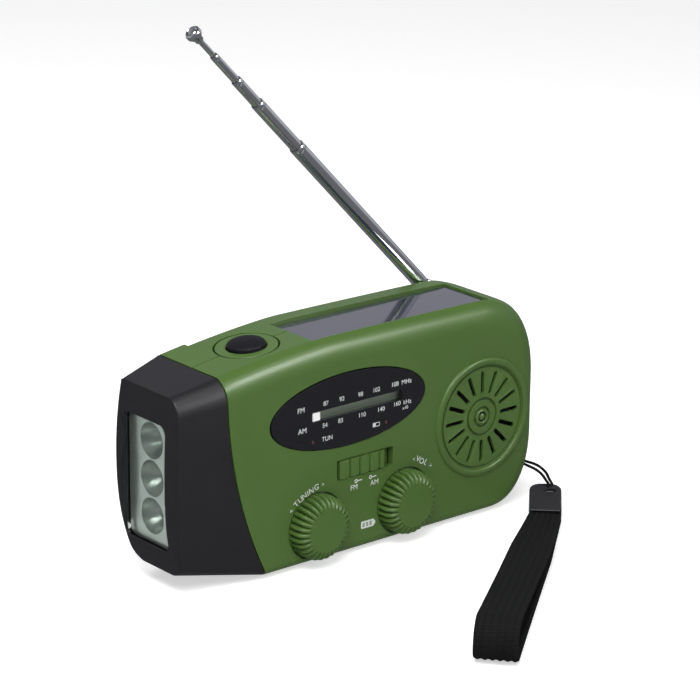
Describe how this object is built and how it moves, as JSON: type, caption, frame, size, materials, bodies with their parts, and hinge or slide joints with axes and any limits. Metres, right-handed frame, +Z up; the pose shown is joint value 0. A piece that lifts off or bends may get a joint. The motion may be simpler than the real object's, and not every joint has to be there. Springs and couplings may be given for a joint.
{
  "type": "emergency radio",
  "caption": "Hand-crank emergency radio with a solar panel, three-LED lamp end, swivelling telescopic antenna, dial, two knobs, speaker and wrist strap.",
  "frame": {"origin": "bottom centre of the box round the radio, measured without the wrist strap", "axes": "+X along the body from the lamp to the speaker, +Y from the dial face to the crank, +Z up"},
  "size_m": [0.1308, 0.1234, 0.1462],
  "materials": {
    "green_plastic": "satin",
    "black_plastic": "satin",
    "gloss_window": "polished",
    "solar_cell": "polished",
    "clear_plastic": "clear",
    "chrome": "polished",
    "steel": "plain",
    "white_plastic": "satin",
    "scale_grey": "satin",
    "circuit_board": "lacquered",
    "speaker_paper": "matt",
    "battery_wrap": "shrink wrap",
    "ferrite": "matt",
    "gear_plastic": "satin",
    "rubber": "matt",
    "webbing": "woven"
  },
  "bodies": {
    "housing": {"front_shell": "green_plastic", "rear_shell": "green_plastic", "button_collar": "green_plastic", "lamp_bezel": "black_plastic", "torch_switch": "black_plastic", "solar_tray": "black_plastic", "gear_plate": "black_plastic", "strap_clip": "black_plastic", "dial_window": "gloss_window", "solar_panel": "solar_cell", "lamp_lens": "clear_plastic", "led_upper": "clear_plastic", "led_middle": "clear_plastic", "led_lower": "clear_plastic", "lamp_reflector": "chrome", "case_screw_upper_left": "steel", "case_screw_upper_right": "steel", "case_screw_lower_left": "steel", "case_screw_lower_right": "steel", "volume_potentiometer": "steel", "band_switch": "steel", "speaker_basket": "steel", "generator": "steel", "usb_port": "steel", "charge_port": "steel", "tuning_capacitor": "white_plastic", "dial_scale": "scale_grey", "led_board": "circuit_board", "main_board": "circuit_board", "speaker_cone": "speaker_paper", "battery_pack": "battery_wrap", "ferrite_rod": "ferrite", "foot_front_left": "rubber", "foot_front_right": "rubber", "foot_rear_left": "rubber", "foot_rear_right": "rubber", "strap_cord": "webbing", "strap_webbing": "webbing"},
    "torch_button": {"torch_button": "black_plastic"},
    "tuning": {"tuning_knob": "green_plastic", "tuning_shaft": "steel"},
    "dial_pointer": {"dial_pointer": "white_plastic"},
    "volume": {"volume_knob": "green_plastic", "volume_shaft": "steel"},
    "band_slider": {"band_slider": "green_plastic"},
    "crank": {"crank_arm": "black_plastic", "crank_shaft": "steel", "drive_gear": "gear_plastic"},
    "idler": {"idler_gear": "gear_plastic"},
    "rotor": {"rotor_pinion": "gear_plastic"},
    "handle_pin": {"crank_pin": "steel"},
    "handle": {"crank_handle": "black_plastic"},
    "antenna_base": {"antenna_knuckle": "chrome", "antenna_pin": "steel"},
    "antenna_1": {"antenna_section_1": "chrome"},
    "antenna_2": {"antenna_section_2": "chrome"},
    "antenna_3": {"antenna_section_3": "chrome"},
    "antenna_4": {"antenna_section_4": "chrome"},
    "antenna_5": {"antenna_section_5": "chrome"},
    "socket_cover": {"socket_cover": "rubber"}
  },
  "joints": [
    {"name": "torch_press", "type": "slide", "parent": "housing", "child": "torch_button", "axis": [0.1177, 0, -0.993], "range_m": [0, 0.001], "stiffness_N_per_m": 300},
    {"name": "tuning_turn", "type": "hinge", "parent": "housing", "child": "tuning", "pos_m": [-0.01836, -0.01645, 0.01163], "axis": [0, 1, 0], "range_deg": [0, 270]},
    {"name": "pointer_travel", "type": "slide", "parent": "housing", "child": "dial_pointer", "axis": [1, 0, 0], "range_m": [0, 0.0286]},
    {"name": "volume_turn", "type": "hinge", "parent": "housing", "child": "volume", "pos_m": [0.01279, -0.01645, 0.01163], "axis": [0, 1, 0], "range_deg": [0, 280]},
    {"name": "band_select", "type": "slide", "parent": "housing", "child": "band_slider", "axis": [1, 0, 0], "range_m": [0, 0.0029]},
    {"name": "crank_turn", "type": "hinge", "parent": "housing", "child": "crank", "pos_m": [0.0143, 0.01355, 0.028], "axis": [0, 1, 0], "continuous": true},
    {"name": "idler_turn", "type": "hinge", "parent": "housing", "child": "idler", "pos_m": [-0.004, 0.00855, 0.0313], "axis": [0, 1, 0], "continuous": true},
    {"name": "rotor_turn", "type": "hinge", "parent": "housing", "child": "rotor", "pos_m": [-0.02132, 0.00655, 0.03811], "axis": [0, 1, 0], "continuous": true},
    {"name": "handle_fold", "type": "hinge", "parent": "crank", "child": "handle_pin", "pos_m": [-0.0167, 0.01825, 0.028], "axis": [0, 0, 1], "range_deg": [0, 90]},
    {"name": "handle_spin", "type": "hinge", "parent": "handle_pin", "child": "handle", "pos_m": [-0.0167, 0.01825, 0.028], "axis": [1, 0, 0], "continuous": true},
    {"name": "antenna_swivel", "type": "hinge", "parent": "housing", "child": "antenna_base", "pos_m": [0.0498, 0.01355, 0.0556], "axis": [0, 1, 0], "range_deg": [-40.5, 90]},
    {"name": "antenna_tilt", "type": "hinge", "parent": "antenna_base", "child": "antenna_1", "pos_m": [0.0459, 0.01355, 0.05962], "axis": [-0.7179, 0, -0.6961], "range_deg": [0, 90]},
    {"name": "antenna_slide_2", "type": "slide", "parent": "antenna_1", "child": "antenna_2", "axis": [-0.6961, 0, 0.7179], "range_m": [-0.0186, 0.0386]},
    {"name": "antenna_slide_3", "type": "slide", "parent": "antenna_2", "child": "antenna_3", "axis": [-0.6961, 0, 0.7179], "range_m": [-0.0093, 0.0459]},
    {"name": "antenna_slide_4", "type": "slide", "parent": "antenna_3", "child": "antenna_4", "axis": [-0.6961, 0, 0.7179], "range_m": [-0.0098, 0.0424]},
    {"name": "antenna_slide_5", "type": "slide", "parent": "antenna_4", "child": "antenna_5", "axis": [-0.6961, 0, 0.7179], "range_m": [-0.0058, 0.0444]},
    {"name": "cover_open", "type": "hinge", "parent": "housing", "child": "socket_cover", "pos_m": [-0.0242, 0.01445, 0.0076], "axis": [-1, 0, 0], "range_deg": [0, 100]}
  ],
  "couplings": [
    {"joint": "pointer_travel", "follows": "tuning_turn", "m_per_rad": 0.0060691},
    {"joint": "idler_turn", "follows": "crank_turn", "ratio": -3.6},
    {"joint": "rotor_turn", "follows": "crank_turn", "ratio": 12.96}
  ]
}
